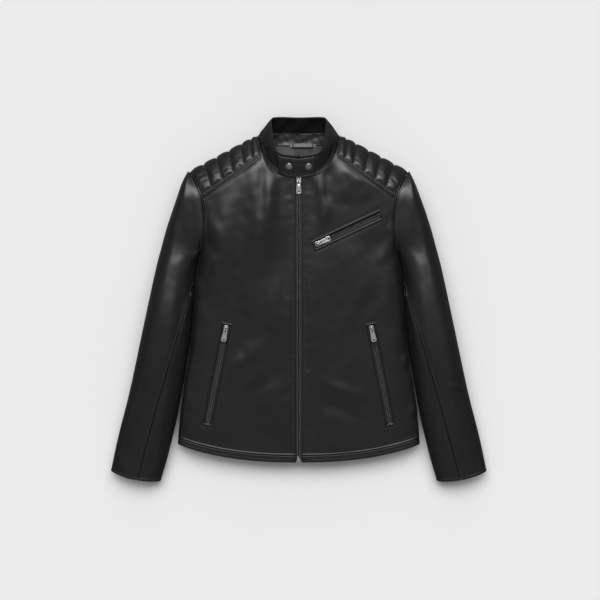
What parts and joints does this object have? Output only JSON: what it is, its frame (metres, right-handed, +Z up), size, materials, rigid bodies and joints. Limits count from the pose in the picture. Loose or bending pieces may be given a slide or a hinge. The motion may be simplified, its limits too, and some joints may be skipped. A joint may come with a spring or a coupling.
{
  "type": "leather riding jacket",
  "caption": "Black leather riding jacket lying flat and closed, with quilted shoulder yokes, a stand collar with a snap tab, a front zip, zipped pockets and full sleeves.",
  "frame": {"origin": "centre of the jacket's outline on the surface it lies on, with the back down and the front up", "axes": "+Z up through the thickness, +Y from the hem to the collar, +X to the wearer's left"},
  "size_m": [0.804, 0.7763, 0.1109],
  "materials": {
    "leather": "smooth black cowhide with a fine grain and a soft sheen",
    "quilted_leather": "the same black leather, channel quilted over wadding",
    "lining": "black woven lining with a slight satin sheen",
    "wadding": "matt grey fibre wadding",
    "zip_tape": "matt black woven tape",
    "zip_teeth": "dark oxidised metal teeth",
    "zip_slider": "nickel plated, lightly worn",
    "bright_metal": "polished nickel",
    "snap_metal": "dark antique nickel, polished on the crown",
    "label_cloth": "plain black woven label"
  },
  "bodies": {
    "jacket": {"back_panel": "leather", "back_hem_band": "leather", "collar_outer": "leather", "collar_facing": "leather", "right_front": "leather", "right_front_hem_band": "leather", "right_upper_sleeve": "leather", "right_under_sleeve": "leather", "left_front": "leather", "left_front_hem_band": "leather", "left_upper_sleeve": "leather", "left_under_sleeve": "leather", "right_welt": "leather", "left_welt": "leather", "chest_welt": "leather", "right_shoulder_yoke": "quilted_leather", "left_shoulder_yoke": "quilted_leather", "back_lining": "lining", "right_front_lining": "lining", "right_sleeve_lining": "lining", "left_front_lining": "lining", "left_sleeve_lining": "lining", "right_pocket_bag": "lining", "left_pocket_bag": "lining", "chest_pocket_bag": "lining", "right_yoke_wadding": "wadding", "left_yoke_wadding": "wadding", "main_zip_right_tape": "zip_tape", "main_zip_left_tape": "zip_tape", "right_zip_tape": "zip_tape", "left_zip_tape": "zip_tape", "chest_zip_tape": "zip_tape", "main_zip_right_teeth": "zip_teeth", "main_zip_left_teeth": "zip_teeth", "right_zip_teeth": "zip_teeth", "left_zip_teeth": "zip_teeth", "chest_zip_teeth": "zip_teeth", "main_zip_right_top_stop": "zip_slider", "main_zip_left_top_stop": "zip_slider", "main_zip_insertion_pin": "zip_slider", "main_zip_retainer_box": "bright_metal", "right_snap_stud": "snap_metal", "left_snap_stud": "snap_metal", "blank_label": "label_cloth"},
    "main_slider": {"main_zip_slider": "zip_slider"},
    "main_pull": {"main_zip_pull": "bright_metal"},
    "right_slider": {"right_zip_slider": "zip_slider"},
    "right_pull": {"right_zip_pull": "bright_metal"},
    "left_slider": {"left_zip_slider": "zip_slider"},
    "left_pull": {"left_zip_pull": "bright_metal"},
    "chest_slider": {"chest_zip_slider": "zip_slider"},
    "chest_pull": {"chest_zip_pull": "bright_metal"},
    "collar_strap": {"collar_tab": "leather", "right_snap_cap": "snap_metal", "right_snap_socket": "snap_metal", "left_snap_cap": "snap_metal", "left_snap_socket": "snap_metal"},
    "hang_loop": {"hanger_loop": "leather"}
  },
  "joints": [
    {"name": "main_zip_slide", "type": "slide", "parent": "jacket", "child": "main_slider", "axis": [0, -0.9971, -0.0761], "range_m": [0, 0.57]},
    {"name": "main_pull_swing", "type": "hinge", "parent": "main_slider", "child": "main_pull", "pos_m": [0, 0.24713, 0.08576], "axis": [-1, 0, 0], "range_deg": [0, 120]},
    {"name": "right_zip_slide", "type": "slide", "parent": "jacket", "child": "right_slider", "axis": [-0.1956, -0.9779, -0.0742], "range_m": [0, 0.172]},
    {"name": "right_pull_swing", "type": "hinge", "parent": "right_slider", "child": "right_pull", "pos_m": [-0.15433, -0.0636, 0.05983], "axis": [-0.9805, 0.1964, -0.004], "range_deg": [0, 165]},
    {"name": "left_zip_slide", "type": "slide", "parent": "jacket", "child": "left_slider", "axis": [0.1956, -0.9779, -0.0742], "range_m": [0, 0.172]},
    {"name": "left_pull_swing", "type": "hinge", "parent": "left_slider", "child": "left_pull", "pos_m": [0.15433, -0.0636, 0.05983], "axis": [-0.9805, -0.1964, 0.004], "range_deg": [0, 165]},
    {"name": "chest_zip_slide", "type": "slide", "parent": "jacket", "child": "chest_slider", "axis": [0.9069, 0.4213, 0.0096], "range_m": [0, 0.11]},
    {"name": "chest_pull_swing", "type": "hinge", "parent": "chest_slider", "child": "chest_pull", "pos_m": [0.04241, 0.11749, 0.07505], "axis": [0.4208, -0.9039, -0.0765], "range_deg": [0, 165]},
    {"name": "collar_tab_swing", "type": "hinge", "parent": "jacket", "child": "collar_strap", "pos_m": [0.0341, 0.2794, 0.1006], "axis": [-0.011, 0.8726, 0.4882], "range_deg": [0, 150]},
    {"name": "hanger_loop_lift", "type": "hinge", "parent": "jacket", "child": "hang_loop", "pos_m": [0.009, 0.334, 0.0056], "axis": [-1, 0, 0], "range_deg": [0, 90]}
  ]
}
